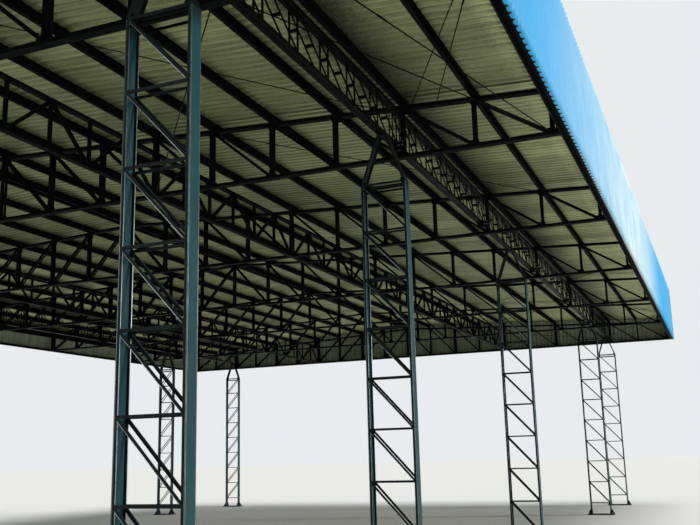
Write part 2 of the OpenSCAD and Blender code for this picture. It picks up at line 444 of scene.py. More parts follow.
def angle_profile(leg: float, other: float, t: float) -> np.ndarray:
    """Section of an angle with its heel at (0, 0), anticlockwise.

    Args:
        leg: Length of the leg along u.
        other: Length of the leg along v.
        t: Thickness.

    Returns:
        Six corners as (u, v).
    """
    return np.array([[0, 0], [leg, 0], [leg, t], [t, t], [t, other], [0, other]])


def hexagon(width: float, points: int = 12) -> np.ndarray:
    """A hexagon of a given width over its flats, with a point halfway along each flat.

    The radius at an angle is the apothem over the cosine of the angle to the nearest flat's middle.

    Args:
        width: Width over the flats.
        points: Number of points.

    Returns:
        The points as (u, v), anticlockwise.
    """
    angle = np.arange(points) * 2 * math.pi / points
    off = (angle + math.pi / 6) % (math.pi / 3) - math.pi / 6
    radius = width / 2 / np.cos(off)
    return np.stack([radius * np.cos(angle), radius * np.sin(angle)], axis=1)


def circle(radius: float, points: int = 12) -> np.ndarray:
    """A ring of points.

    Args:
        radius: Its radius.
        points: Number of points.

    Returns:
        The points as (u, v), anticlockwise.
    """
    angle = np.arange(points) * 2 * math.pi / points
    return radius * np.stack([np.cos(angle), np.sin(angle)], axis=1)


def add_bolts(shape: Shape, centres: np.ndarray, axis: np.ndarray, across: float) -> None:
    """Adds hexagonal heads with washers, whose sizes are shares of the width over the flats.

    Args:
        shape: The mesh that gets them.
        centres: Seats of the heads.
        axis: Direction in which they stand.
        across: Width over the flats.
    """
    washer, flat, top = circle(across * 0.72), hexagon(across), circle(across * 0.42)
    rings = np.stack([washer, washer * 0.98, flat, flat, top])
    heights = across * np.array([-0.05, 0.14, 0.14, 0.66, 0.76])
    shape.rings(heights, rings, centres, axis)


def add_screws(shape: Shape, centres: np.ndarray, axis: np.ndarray) -> None:
    """Adds small sheeting screws: a domed washer with a six-sided head.

    Args:
        shape: The mesh that gets them.
        centres: Seats of the screws.
        axis: Direction in which they stand.
    """
    washer, head = circle(0.0095, 6), circle(0.0055, 6)
    rings = np.stack([washer, head, head * 0.9])
    shape.rings(np.array([-0.001, 0.0025, 0.007]), rings, centres, axis)


class Graph:
    """A material's node graph over the object's own coordinates."""

    def __init__(self, name: str) -> None:
        """Starts a material with one shader.

        Args:
            name: Name of the material.
        """
        self.material = bpy.data.materials.new(name)
        self.material.use_nodes = True
        self.tree = self.material.node_tree
        self.shader = self.tree.nodes["Principled BSDF"]
        self.place = self.tree.nodes.new("ShaderNodeTexCoord").outputs["Object"]

    def link(self, source: Socket, target: Socket) -> None:
        """Joins two sockets.

        Args:
            source: Output socket.
            target: Input socket.
        """
        self.tree.links.new(source, target)

    def feed(self, target: Socket, value: "Socket | float | Colour") -> None:
        """Links a socket, or sets a constant on it.

        Args:
            target: Input socket.
            value: Output socket, number or colour.
        """
        if isinstance(value, bpy.types.NodeSocket):
            self.link(value, target)
        elif isinstance(value, tuple) and target.type == "RGBA":
            target.default_value = (*value, 1.0)
        else:
            target.default_value = value

    def node(
        self,
        kind: str,
        output: str | int,
        inputs: "dict[str | int, Socket | float | Colour]",
        **settings: str,
    ) -> Socket:
        """Adds a node.

        Args:
            kind: Its type, without the words that all shader nodes start with.
            output: Name or place of the output that is wanted.
            inputs: What goes into its sockets, by name or place.
            **settings: What its own properties are set to.

        Returns:
            The output.
        """
        node = self.tree.nodes.new("ShaderNode" + kind)
        for name, setting in settings.items():
            setattr(node, name, setting)
        for name, value in inputs.items():
            self.feed(node.inputs[name], value)
        return node.outputs[output]

    def stretched(self, scale: Point) -> Socket:
        """Coordinates scaled by axis, so that a pattern is drawn out along the smaller ones.

        Args:
            scale: Scale along X, Y and Z.

        Returns:
            The scaled coordinates.
        """
        return self.node("Mapping", "Vector", {"Scale": scale, "Vector": self.place})

    def noise(
        self, scale: float, detail: float = 4.0, rough: float = 0.5, at: Socket | None = None
    ) -> Socket:
        """Cloudy noise from 0 to 1.

        Args:
            scale: Waves in a metre.
            detail: Octaves.
            rough: Weight of the finer octaves.
            at: Coordinates, or none for the object's own.

        Returns:
            The noise value.
        """
        inputs = {"Scale": scale, "Detail": detail, "Roughness": rough, "Vector": at or self.place}
        return self.node("TexNoise", "Fac", inputs)

    def cells(self, scale: float) -> Socket:
        """Distance to the nearest of scattered points.

        Args:
            scale: Cells in a metre.

        Returns:
            The distance.
        """
        return self.node("TexVoronoi", "Distance", {"Scale": scale, "Vector": self.place})

    def axis(self, name: str, of: Socket | None = None) -> Socket:
        """One axis of the coordinates.

        Args:
            name: X, Y or Z.
            of: A vector, or none for the object's own coordinates.

        Returns:
            The coordinate.
        """
        return self.node("SeparateXYZ", name, {"Vector": of or self.place})

    def facing(self, name: str) -> Socket:
        """One axis of the surface's own direction.

        Args:
            name: X, Y or Z.

        Returns:
            The component of the normal.
        """
        return self.axis(name, self.node("NewGeometry", "Normal", {}))

    def sums(self, kind: str, a: "Socket | float", b: "Socket | float" = 0.0) -> Socket:
        """A sum on values that vary over the surface.

        Args:
            kind: Name of the operation.
            a: First value.
            b: Second value.

        Returns:
            The result.
        """
        return self.node("Math", "Value", {0: a, 1: b}, operation=kind)

    def span(
        self, value: Socket, low: float, high: float, start: float = 0.0, end: float = 1.0
    ) -> Socket:
        """Maps a stretch of values to another, held at its ends.

        Args:
            value: The value.
            low: Value that gives start.
            high: Value that gives end.
            start: Result at low.
            end: Result at high.

        Returns:
            The mapped value.
        """
        sockets = ("Value", "From Min", "From Max", "To Min", "To Max")
        inputs = dict(zip(sockets, (value, low, high, start, end)))
        return self.node("MapRange", "Result", inputs)

    def mix(self, share: Socket, first: "Socket | Colour", second: "Socket | Colour") -> Socket:
        """Mixes two colours.

        Args:
            share: Share of the second, from 0 to 1.
            first: First colour.
            second: Second colour.

        Returns:
            The mixed colour.
        """
        inputs = {"Factor": share, MIX_FIRST: first, MIX_SECOND: second}
        return self.node("Mix", MIX_RESULT, inputs, data_type="RGBA")

    def bump(
        self, height: Socket, distance: float, strength: float, over: Socket | None = None
    ) -> Socket:
        """Raises the surface by a height.

        Args:
            height: Height from 0 to 1.
            distance: Height of 1 in metres.
            strength: Share of it that is used.
            over: A bump that this one lies on.

        Returns:
            The normal.
        """
        inputs = {"Distance": distance, "Strength": strength, "Height": height}
        if over is not None:
            inputs["Normal"] = over
        return self.node("Bump", "Normal", inputs)

    def finished(
        self, colour: Socket, rough: Socket, normal: Socket, metallic: float, gleam: float = 0.5
    ) -> bpy.types.Material:
        """Joins colour, roughness and bump to the shader.

        Args:
            colour: Base colour.
            rough: Roughness.
            normal: Bumped normal.
            metallic: Metallic share, the same all over.
            gleam: Strength of the mirror reflection, the same all over.

        Returns:
            The material.
        """
        self.link(colour, self.shader.inputs["Base Color"])
        self.link(rough, self.shader.inputs["Roughness"])
        self.link(normal, self.shader.inputs["Normal"])
        self.shader.inputs["Metallic"].default_value = metallic
        self.shader.inputs["Specular IOR Level"].default_value = gleam
        return self.material


@dataclass(frozen=True)
class SteelPaint:
    """Dark blue-green paint on rolled steel, dusty on top and rusting through in spots.

    Faces that look across the canopy keep the colour, as painted sunlight, up to a height; the rest
    take painted shade.
    """

    name: str = "steel_paint"
    colour: Colour = srgb(22, 58, 63)
    worn: Colour = srgb(32, 74, 79)
    dust: Colour = srgb(74, 84, 78)
    rust: Colour = srgb(84, 46, 28)
    rust_edge: float = 0.675
    # Painted shade colour, and the height above which every face takes it.
    painted_shade: Colour = srgb(16, 25, 26)
    painted_sun_top: float = 6.85
    shine: float = 0.42
    gleam: float = 0.12

    def material(self) -> bpy.types.Material:
        """Builds the paint.

        Returns:
            The material.
        """
        g = Graph(self.name)
        patches = g.noise(1.1, 5.0, 0.6)
        brushed = g.noise(9.0, 5.0, 0.6, g.stretched((1.0, 1.0, 0.22)))
        coat = g.mix(g.span(patches, 0.36, 0.72, 0.0, 0.45), self.colour, self.worn)
        # Painted light: below that height, faces that look along X keep the sunlit colour; all
        # others take the painted shade.
        painted_sun_side = g.span(g.sums("ABSOLUTE", g.facing("X")), 0.5, 0.75)
        height = g.span(g.axis("Z"), self.painted_sun_top - 0.2, self.painted_sun_top + 0.1, 1.0, 0.0)
        coat = g.mix(g.sums("MULTIPLY", painted_sun_side, height), self.painted_shade, coat)
        coat = g.mix(g.span(brushed, 0.5, 0.85, 0.0, 0.22), coat, self.dust)
        spots = g.noise(6.5, 9.0, 0.68)
        runs = g.noise(30.0, 3.0, 0.5, g.stretched((1.0, 1.0, 0.05)))
        rusty = g.span(spots, self.rust_edge, self.rust_edge + 0.05)
        run = g.sums("MULTIPLY", g.span(runs, 0.6, 0.78), g.span(spots, 0.52, 0.66, 0.0, 0.55))
        rusty = g.sums("MAXIMUM", rusty, run)
        coat = g.mix(rusty, coat, self.rust)
        upward = g.span(g.facing("Z"), 0.55, 0.95)
        lying = g.sums("MULTIPLY", upward, g.span(g.noise(3.0), 0.3, 0.6, 0.35, 0.85))
        coat = g.mix(lying, coat, self.dust)
        grain = g.noise(160.0, 3.0, 0.6)
        polish = g.span(g.noise(4.0, 6.0), 0.3, 0.7, self.shine, self.shine + 0.2)
        rough = g.sums("ADD", polish, g.span(rusty, 0.0, 1.0, 0.0, 0.3))
        skin = g.bump(grain, 0.0006, 0.5)
        skin = g.bump(rusty, 0.0008, 0.6, skin)
        return g.finished(coat, rough, skin, 0.0, self.gleam)


@dataclass(frozen=True)
class RoofZinc:
    """Galvanised roof sheet, grey and weathered on top.

    Below it is olive, darker in streaks on its rib flanks, stained at its laps, and given painted
    shade just outside the girders. The laps lie one sheet's cover apart, counted from the roof's
    near edge.
    """

    name: str = "roof_zinc"
    colour: Colour = srgb(208, 216, 156)
    pale: Colour = srgb(230, 236, 182)
    stain: Colour = srgb(66, 72, 42)
    zinc: Colour = srgb(150, 162, 122)
    gap_shade_colour: Colour = srgb(24, 26, 17)
    weathered: Colour = srgb(124, 130, 128)
    dull: Colour = srgb(104, 110, 106)
    gap_shade_start: float = 9.7
    gap_shade_full: float = 10.5
    gap_shade_end: float = 11.4
    edge: float = 18.97
    sheet: float = 0.92211

    def material(self) -> bpy.types.Material:
        """Builds the sheet's finish.

        Returns:
            The material.
        """
        g = Graph(self.name)
        along = g.axis("Y")
        place = g.sums("DIVIDE", g.sums("ADD", along, self.edge), self.sheet)
        number = g.sums("FLOOR", place)
        tone = g.node("TexWhiteNoise", "Value", {"W": number}, noise_dimensions="1D")
        clouds = g.noise(0.7, 6.0, 0.6)
        base = g.mix(g.span(clouds, 0.35, 0.7, 0.0, 0.7), self.colour, self.pale)
        base = g.mix(g.span(tone, 0.0, 1.0, 0.0, 0.7), base, self.zinc)
        flank = g.sums("ABSOLUTE", g.facing("Y"))
        # Darker in streaks on the rib flanks, picked by their facing along Y.
        drips = g.noise(1.4, 8.0, 0.7, g.stretched((0.5, 6.0, 1.0)))
        drips = g.span(drips, 0.3, 0.66, 0.3, 1.0)
        flank_streaks = g.sums("MULTIPLY", g.span(flank, 0.15, 0.6, 0.2, 1.0), drips)
        lap = g.span(g.sums("FRACT", place), 0.0, 0.035, 0.95, 0.0)
        base = g.mix(g.sums("MAXIMUM", flank_streaks, lap), base, self.stain)
        # Painted shade on the underside just outside the girders, where the girder and the purlin
        # shade the sheet.
        uneven = g.span(g.noise(0.9, 4.0), 0.3, 0.7, 0.0, 0.35)
        out = g.sums("ADD", g.sums("ABSOLUTE", g.axis("X")), uneven)
        gap_shade = g.span(out, self.gap_shade_start, self.gap_shade_start + 0.25)
        gap_shade = g.sums("MULTIPLY", gap_shade, g.span(out, self.gap_shade_full, self.gap_shade_end, 1.0, 0.0))
        base = g.mix(gap_shade, base, self.gap_shade_colour)
        top = g.mix(g.span(clouds, 0.3, 0.7), self.weathered, self.dull)
        top = g.mix(g.sums("MAXIMUM", g.span(flank, 0.2, 0.7, 0.0, 0.35), lap), top, self.stain)
        base = g.mix(g.span(g.facing("Z"), -0.05, 0.05), base, top)
        spangle = g.cells(46.0)
        base = g.mix(g.span(spangle, 0.1, 0.8, 0.0, 0.22), base, self.pale)
        cloudy = g.span(clouds, 0.3, 0.7, 0.0, 0.1)
        rough = g.sums("ADD", g.span(spangle, 0.0, 0.8, 0.3, 0.4), cloudy)
        skin = g.bump(g.noise(2.2, 4.0, 0.5, g.stretched((1.0, 3.0, 1.0))), 0.006, 0.35)
        skin = g.bump(spangle, 0.0004, 0.3, skin)
        return g.finished(base, rough, skin, 0.8)


@dataclass(frozen=True)
class FasciaPaint:
    """Light blue coil coating, whitened by a painted sun glare towards the middle of the long side.
    """

    name: str = "fascia_paint"
    colour: Colour = srgb(30, 158, 218)
    pale: Colour = srgb(112, 200, 228)
    painted_glare: Colour = srgb(238, 246, 232)
    grime: Colour = srgb(96, 128, 140)
    glare_start: float = -14.0
    glare_full: tuple[float, float] = (-1.0, 3.0)
    glare_end: float = 11.0
    grimy: tuple[float, float] = (7.4, 8.6)

    def material(self) -> bpy.types.Material:
        """Builds the coating.

        Returns:
            The material.
        """
        g = Graph(self.name)
        clouds = g.noise(0.5, 5.0, 0.6)
        base = g.mix(g.span(clouds, 0.35, 0.7, 0.0, 0.3), self.colour, self.pale)
        # Painted glare along Y, strongest towards the middle of the long side and weaker on the rib
        # flanks.
        along = g.axis("Y")
        rise = g.span(along, self.glare_start, self.glare_full[0])
        glare_falloff = g.span(along, self.glare_full[1], self.glare_end, 1.0, 0.0)
        patchy = g.span(g.noise(1.1, 5.0), 0.25, 0.7, 0.55, 0.95)
        painted_glare_share = g.sums("MULTIPLY", g.sums("MULTIPLY", rise, glare_falloff), patchy)
        crest = g.span(g.sums("ABSOLUTE", g.facing("Y")), 0.3, 0.75, 1.0, 0.4)
        base = g.mix(g.sums("MULTIPLY", painted_glare_share, crest), base, self.painted_glare)
        runs = g.noise(7.0, 6.0, 0.6, g.stretched((1.0, 1.0, 0.05)))
        low = g.span(g.axis("Z"), *self.grimy, 0.4, 0.2)
        base = g.mix(g.sums("MULTIPLY", g.span(runs, 0.48, 0.78), low), base, self.grime)
        specks = g.noise(42.0, 4.0, 0.6)
        speckled = g.span(specks, 0.5, 0.8, 0.0, 0.12)
        rough = g.sums("ADD", g.span(clouds, 0.3, 0.7, 0.42, 0.52), speckled)
        skin = g.bump(g.noise(1.8, 3.0, 0.5), 0.004, 0.3)
        skin = g.bump(specks, 0.0003, 0.4, skin)
        return g.finished(base, rough, skin, 0.0, 0.15)


@dataclass(frozen=True)
class ShadedBackCoat:
    """Thin olive backing coat of the fascia sheets, streaked, dusty and darkened as painted shade.
    """

    name: str = "shaded_back_coat"
    colour: Colour = srgb(132, 144, 116)
    streak: Colour = srgb(88, 96, 78)
    dust: Colour = srgb(156, 156, 124)

    def material(self) -> bpy.types.Material:
        """Builds the coat.

        Returns:
            The material.
        """
        g = Graph(self.name)
        streaks = g.noise(6.0, 6.0, 0.6, g.stretched((1.0, 1.0, 0.08)))
        base = g.mix(g.span(streaks, 0.4, 0.75), self.colour, self.streak)
        base = g.mix(g.span(g.noise(1.3, 6.0, 0.65), 0.45, 0.75, 0.0, 0.6), base, self.dust)
        rough = g.span(g.noise(18.0, 4.0), 0.3, 0.7, 0.5, 0.72)
        return g.finished(base, rough, g.bump(g.noise(90.0, 3.0), 0.0004, 0.4), 0.0, 0.3)


@dataclass(frozen=True)
class Galvanised:
    """Bright zinc on bolts, screws and rods, dulled and touched by rust."""

    name: str = "galvanised"
    colour: Colour = srgb(120, 124, 120)
    dull: Colour = srgb(84, 86, 82)
    rust: Colour = srgb(104, 62, 36)
    metallic: float = 0.6
    rough: float = 0.38

    def material(self) -> bpy.types.Material:
        """Builds the finish.

        Returns:
            The material.
        """
        g = Graph(self.name)
        base = g.mix(g.span(g.noise(8.0, 5.0, 0.6), 0.35, 0.7), self.colour, self.dull)
        rusty = g.span(g.noise(21.0, 6.0, 0.6), 0.6, 0.7, 0.0, 0.8)
        base = g.mix(rusty, base, self.rust)
        rough = g.span(g.noise(30.0, 4.0), 0.3, 0.7, self.rough, self.rough + 0.24)
        return g.finished(base, rough, g.bump(g.noise(240.0, 3.0), 0.0003, 0.5), self.metallic)


@dataclass
class Finishes:
    """The canopy's materials, made once."""

    steel: bpy.types.Material
    dark: bpy.types.Material
    girder: bpy.types.Material
    roof: bpy.types.Material
    fascia: bpy.types.Material
    back: bpy.types.Material
    worn: bpy.types.Material
    zinc: bpy.types.Material

    @classmethod
    def made(cls) -> "Finishes":
        """Builds every finish.

        Returns:
            The set of materials.
        """
        # Near-black copies of the column paint for the roof steel and the girders: painted shade
        # for steel under the roof.
        dark = SteelPaint(
            name="roof_steel_painted_shade",
            colour=srgb(13, 18, 17),
            worn=srgb(19, 25, 23),
            dust=srgb(33, 35, 30),
            rust=srgb(44, 28, 20),
            painted_shade=srgb(10, 14, 13),
            shine=0.5,
            gleam=0.02,
        )
        girder = SteelPaint(
            name="girder_painted_shade",
            colour=srgb(14, 17, 10),
            worn=srgb(21, 24, 15),
            dust=srgb(32, 32, 24),
            rust=srgb(42, 29, 20),
            painted_shade=srgb(11, 13, 8),
            shine=0.3,
            gleam=0.015,
        )
        # Bright metal for the strips that paint glints along the column edges.
        worn = Galvanised(
            name="worn_corners",
            colour=srgb(206, 216, 214),
            dull=srgb(140, 164, 166),
            rust=srgb(100, 106, 96),
            metallic=0.9,
            rough=0.36,
        )
        return cls(
            steel=SteelPaint().material(),
            dark=dark.material(),
            girder=girder.material(),
            roof=RoofZinc().material(),
            fascia=FasciaPaint().material(),
            back=ShadedBackCoat().material(),
            worn=worn.material(),
            zinc=Galvanised().material(),
        )


@dataclass
class TrussBars:
    """What the roof trusses have beyond their chords and flat bars."""

    plan: Plan
    leg: float = 0.05
    t: float = 0.006
    batten: float = 0.05
    plate: float = 0.008
    gusset_l: float = 0.12
    gusset_h: float = 0.08
    gusset_t: float = 0.01
    setback: float = 0.085
    shares: tuple[float, float] = (0.34, 0.68)
    two_from: float = 1.0

    def axes(self) -> tuple[np.ndarray, np.ndarray, np.ndarray, np.ndarray]:
        """Ends, widths and sides of every web bar of a truss at Y 0.

        An upright stands at each panel point. A brace falls from the top of the upright nearer the
        middle to the foot of the next one out, and stops short of both by the setback. A bar's
        side is its direction turned by a quarter, away from the middle.

        Returns:
            Start and end of each bar, its width, and its side.
        """
        p = self.plan
        x = p.half_w - p.panel * np.arange(p.half_panels + 1)
        x = np.concatenate([x, -x[:-1]])
        foot = spread(x, 0.0, p.chord_level + p.chord_h / 2)
        head = spread(x, 0.0, p.top_z(x) - p.chord_h / 2)
        out = p.half_w - p.panel * np.arange(p.half_panels)
        out = np.concatenate([out, -out])
        inn = out - np.sign(out) * p.panel
        low, high = spread(out, 0.0, p.chord_level), spread(inn, 0.0, p.top_z(inn))
        short = unit(low - high) * self.setback
        low, high = low - short, high + short
        start, end = np.concatenate([foot, high]), np.concatenate([head, low])
        widths = np.concatenate([np.full(len(x), p.post_w), np.full(len(out), p.brace_w)])
        hand = np.where(start[:, :1] + end[:, :1] < 0, -1.0, 1.0)
        return start, end, widths, hand * np.cross(Y_WAY, unit(end - start))

    def legs(self, finish: Finishes) -> None:
        """Adds the inward leg of each web angle, on both faces of every truss.

        Args:
            finish: The materials.
        """
        p = self.plan
        start, end, width, side = self.axes()
        shape = Shape()
        for w in np.unique(width):
            pick = width == w
            profile = box_profile(w / 2 - self.t, w / 2 - HAIR, self.leg)
            for y, face in product(p.truss_y, SIDES):
                at = Y_WAY * (y + face * (p.chord_w / 2 - p.web_t / 2 - self.leg / 2))
                shape.prisms(profile, start[pick] + at, end[pick] + at, side[pick])
        shape.piece("truss_angle_legs", finish.dark, Slot.STEEL)

    def battens(self, finish: Finishes) -> None:
        """Adds short plates that join the paired bars, against their inward legs.

        Each bar has one at the first share of its length, and a long one has one at the second too.

        Args:
            finish: The materials.
        """
        p = self.plan
        start, end, width, side = self.axes()
        length = np.linalg.norm(end - start, axis=1)
        way = unit(end - start)
        off = side * (width[:, None] / 2 - self.t - self.plate / 2)
        gap = p.chord_w / 2 - p.web_t + 2 * HAIR
        profile = box_profile(-self.batten / 2, self.batten / 2, self.plate)
        shape = Shape()
        for share, shortest in zip(self.shares, (0.0, self.two_from)):
            pick = length > shortest
            middle = (start + (end - start) * share + off)[pick]
            for y in p.truss_y:
                a, b = middle + Y_WAY * (y - gap), middle + Y_WAY * (y + gap)
                shape.prisms(profile, a, b, way[pick])
        shape.piece("truss_battens", finish.dark, Slot.STEEL)

    def gussets(self, finish: Finishes) -> None:
        """Adds gusset plates where bars meet the chords, within the thickness of the bars.

        Args:
            finish: The materials.
        """
        p = self.plan
        x = p.half_w - p.panel * np.arange(p.half_panels + 1)
        shape = Shape()
        for side, top in product(SIDES, (False, True)):
            at = x[1:] if top else x[:-1]
            base = np.where(top, p.top_z(at) - p.chord_h / 2, p.chord_level + p.chord_h / 2)
            way = 1.0 if top else -1.0
            run = way * np.array([-0.06, self.gusset_l, self.gusset_l * 0.72, -0.045])
            rise = way * np.array([0.01, 0.01, -self.gusset_h * 0.62, -self.gusset_h])
            xs = side * (at[:, None] + run)
            zs = base[:, None] + rise - (p.fall * run if top else 0.0)
            for y, face in product(p.truss_y, SIDES):
                corners = spread(xs, y + face * (p.chord_w - p.web_t) / 2, zs)
                corners = corners if side > 0 else corners[:, ::-1]
                shape.slabs(corners, Y_WAY, self.gusset_t)
        shape.piece("truss_gussets", finish.dark, Slot.STEEL)


@dataclass
class PurlinCleats:
    """Angle cleats and bolts that hold the purlins on the trusses."""

    plan: Plan
    leg: float = 0.09
    t: float = 0.008
    long: float = 0.07
    bolt: float = 0.019

    def build(self, finish: Finishes) -> None:
        """Adds the cleats on the inner side of the purlins, and their bolts.

        Args:
            finish: The materials.
        """
        p = self.plan
        turn = math.radians(p.roof_fall)
        x = p.half_w - p.panel * np.arange(p.half_panels) - p.purlin_w / 2 * math.cos(turn)
        z = p.top_z(x) + p.chord_h / 2
        cleats, bolts = Shape(), Shape()
        profile = angle_profile(self.leg, self.leg, self.t)
        for side in SIDES:
            inwards = np.array([-side * math.cos(turn), 0.0, math.sin(turn)])
            up = np.array([side * math.sin(turn), 0.0, math.cos(turn)])
            for y in p.truss_y:
                a = spread(side * x, y - side * self.long / 2, z)
                b = a + Y_WAY * side * self.long
                cleats.prisms(profile, a, b, inwards)
                for leg, way, share in ((inwards, up, 0.58), (up, inwards, 0.62)):
                    seats = (a + b) / 2 + leg * self.leg * share + way * self.t
                    add_bolts(bolts, seats, way, self.bolt)
        cleats.piece("purlin_cleats", finish.dark, Slot.STEEL)
        bolts.piece("purlin_bolts", finish.zinc, Slot.STEEL)


@dataclass
class ColumnFittings:
    """Lacing angles, stiffeners, bright edge strips that paint glints, and anchor bolts of the
    columns.
    """

    plan: Plan
    leg: float = 0.016
    t: float = 0.004
    corner: float = 0.009
    sunk: float = 0.93
    toe: float = 0.0055
    edge: float = 0.0035
    base_l: float = 1.0
    bolt: float = 0.036
    rib_h: float = 0.17
    rib_t: float = 0.012
    rib_out: float = 0.105
    rib_toe: float = 0.03
    rib_in: float = 0.035
    rib_gap: float = 0.09
    anchor_in: float = 0.06
    anchor_y: float = 0.14
    seam: float = 0.008
    bend_strut: float = 0.032
    bend_down: float = 0.09
    bend_t: float = 0.009

    def lacing(self) -> tuple[np.ndarray, np.ndarray]:
        """Ends of the struts and braces of a column that stands at X 0 and Y 0.

        A strut lies at the bend and at the foot of each panel. A brace falls from the inner leg to
        the outer one in each panel, on a line between the middles of the flanges, and runs over
        each flange by the seam.

        Returns:
            Start and end of each bar.
        """
        p = self.plan
        reach, half = p.column_w / 2 - p.leg_flange / 2, p.column_w / 2 - p.leg_flange
        level = p.bend_z - p.lace_panel * np.arange(p.lace_panels + 1)
        left, right = spread(-half, 0.0, level), spread(half, 0.0, level)
        drop = p.lace_panel * (reach - half + self.seam) / (2 * reach)
        high = spread(self.seam - half, 0.0, level[:-1] - drop)
        low = spread(half - self.seam, 0.0, level[1:] + drop)
        return np.concatenate([left, high]), np.concatenate([right, low])

    def build(self, finish: Finishes) -> None:
        """Adds the pieces to every column.

        Args:
            finish: The materials.
        """
        p = self.plan
        start, end = self.lacing()
        way = unit(end - start)
        lacing, ribs, bolts, bends, worn = (Shape() for _ in range(5))
        profile = box_profile(HAIR - p.lace_w / 2, self.t - p.lace_w / 2, self.leg)
        edge = circle(self.edge, 6) + np.array([2 * HAIR - p.lace_w / 2, 0.0])
        # Painted glints: bright strips go only on the sloping braces, which catch the sun.
        sloping = np.abs(way[:, 2]) > 0.3
        for side, y in product(SIDES, p.column_y):
            x, flip = side * p.girder_x, np.array([side, 1.0, 1.0])
            up = np.cross(way, Y_WAY) * flip
            for face in SIDES:
                v = y + face * (p.leg_h / 2 - p.leg_t - self.leg / 2 + 2 * HAIR)
                a, b = start * flip + spread(x, v, 0.0), end * flip + spread(x, v, 0.0)
                lacing.prisms(profile, a, b, up)
                lift = Y_WAY * face * (p.leg_t + self.leg / 2 - 0.002)
                worn.prisms(edge, a[sloping] + lift, b[sloping] + lift, up[sloping])
            self.foot(ribs, bolts, x, y)
            self.bend(bends, x, y)
            self.corners(worn, x, y)
        lacing.piece("column_lacing_legs", finish.dark, Slot.STEEL)
        ribs.piece("column_base_ribs", finish.steel, Slot.STEEL)
        bolts.piece("anchor_bolts", finish.zinc, Slot.STEEL)
        bends.piece("column_bend_plates", finish.dark, Slot.STEEL)
        worn.piece("leg_corners", finish.worn, Slot.STEEL)

    def corners(self, worn: Shape, x: float, y: float) -> None:
        """Adds the rounded outer corners and the round toes of the leg channels, as bright strips
        that paint glints.

        The section of a corner is a quarter circle of the corner's radius, whose middle lies inside
        the leg by the sunk share of it. That of a toe is a small circle round the flange's end.

        Args:
            worn: Mesh of the corners, whose bright strips paint glints.
            x: Middle of the column across the canopy.
            y: Station of the column.
        """
        p = self.plan
        turn = np.linspace(0.0, math.pi / 2, 5)
        arc = self.corner * np.stack([np.cos(turn) - self.sunk, np.sin(turn) - self.sunk], axis=1)
        profile = np.concatenate([arc, np.full((1, 2), -self.corner * self.sunk)])
        for s, f in product(SIDES, SIDES):
            levels = np.array([p.plate_t + self.rib_h, p.bend_z - 0.01])
            ends = spread(x + s * p.column_w / 2, y + f * p.leg_h / 2, levels)
            a, b = ends if s * f > 0 else ends[::-1]
            worn.prisms(profile, a, b, X_WAY * s)
            toe = np.array([s * (0.002 - p.leg_flange), -f * p.leg_t / 2, 0.0])
            worn.prisms(circle(self.toe, 8), a + toe, b + toe, X_WAY * s)

    def foot(self, ribs: Shape, bolts: Shape, x: float, y: float) -> None:
        """Adds the stiffening ribs and anchor bolts of one base plate.

        Args:
            ribs: Mesh of the ribs.
            bolts: Mesh of the bolts.
            x: Middle of the column across the canopy.
            y: Station of the column.
        """
        p = self.plan
        half, top = p.column_w / 2, p.plate_t
        run = np.array([-0.005, self.rib_out, self.rib_out, self.rib_toe, -0.005])
        rise = top + np.array([0.0, 0.0, self.rib_toe, self.rib_h, self.rib_h])
        for s, f in product(SIDES, SIDES):
            corners = spread(x + s * (half + run), y + f * self.rib_gap / 2, rise)
            ribs.slabs(corners[None, ::-int(s)], Y_WAY, self.rib_t)
            corners = spread(x + s * (half - self.rib_in), y + f * (p.leg_h / 2 + run), rise)
            ribs.slabs(corners[None, ::int(f)], X_WAY, self.rib_t)
        xs = x + np.tile(SIDES, 2) * (self.base_l / 2 - self.anchor_in)
        seats = spread(xs, y + np.repeat(SIDES, 2) * self.anchor_y, top)
        washer, nut, rod = circle(self.bolt * 0.9), hexagon(self.bolt), circle(self.bolt * 0.33)
        rings = np.stack([washer, washer, nut, nut, rod, rod, rod * 0.7])
        heights = np.array([-0.001, 0.005, 0.005, 0.034, 0.036, 0.07, 0.074])
        bolts.rings(heights, rings, seats, Z_WAY)

    def bend(self, plates: Shape, x: float, y: float) -> None:
        """Adds the second strut just under the bend and the plates that stiffen the bend.

        Args:
            plates: Mesh of the plates.
            x: Middle of the column across the canopy.
            y: Station of the column.
        """
        p = self.plan
        half, wide = p.column_w / 2 - 0.02, self.bend_strut / 2
        strut = box_profile(-wide, wide, 0.01)
        zs = p.bend_z + np.array([-0.08, -0.03, 0.03, 0.1])
        for f in SIDES:
            v = y + f * (p.leg_h / 2 - p.leg_t / 2)
            a, b = spread(x + half * np.array(SIDES), v, p.bend_z - self.bend_down)
            plates.prisms(strut, a, b, Z_WAY)
            for s in SIDES:
                xs = x + s * (half - np.array([0.0, 0.05, 0.07, 0.02]))
                plates.slabs(spread(xs, v, zs)[None, ::int(s)], Y_WAY, self.bend_t)


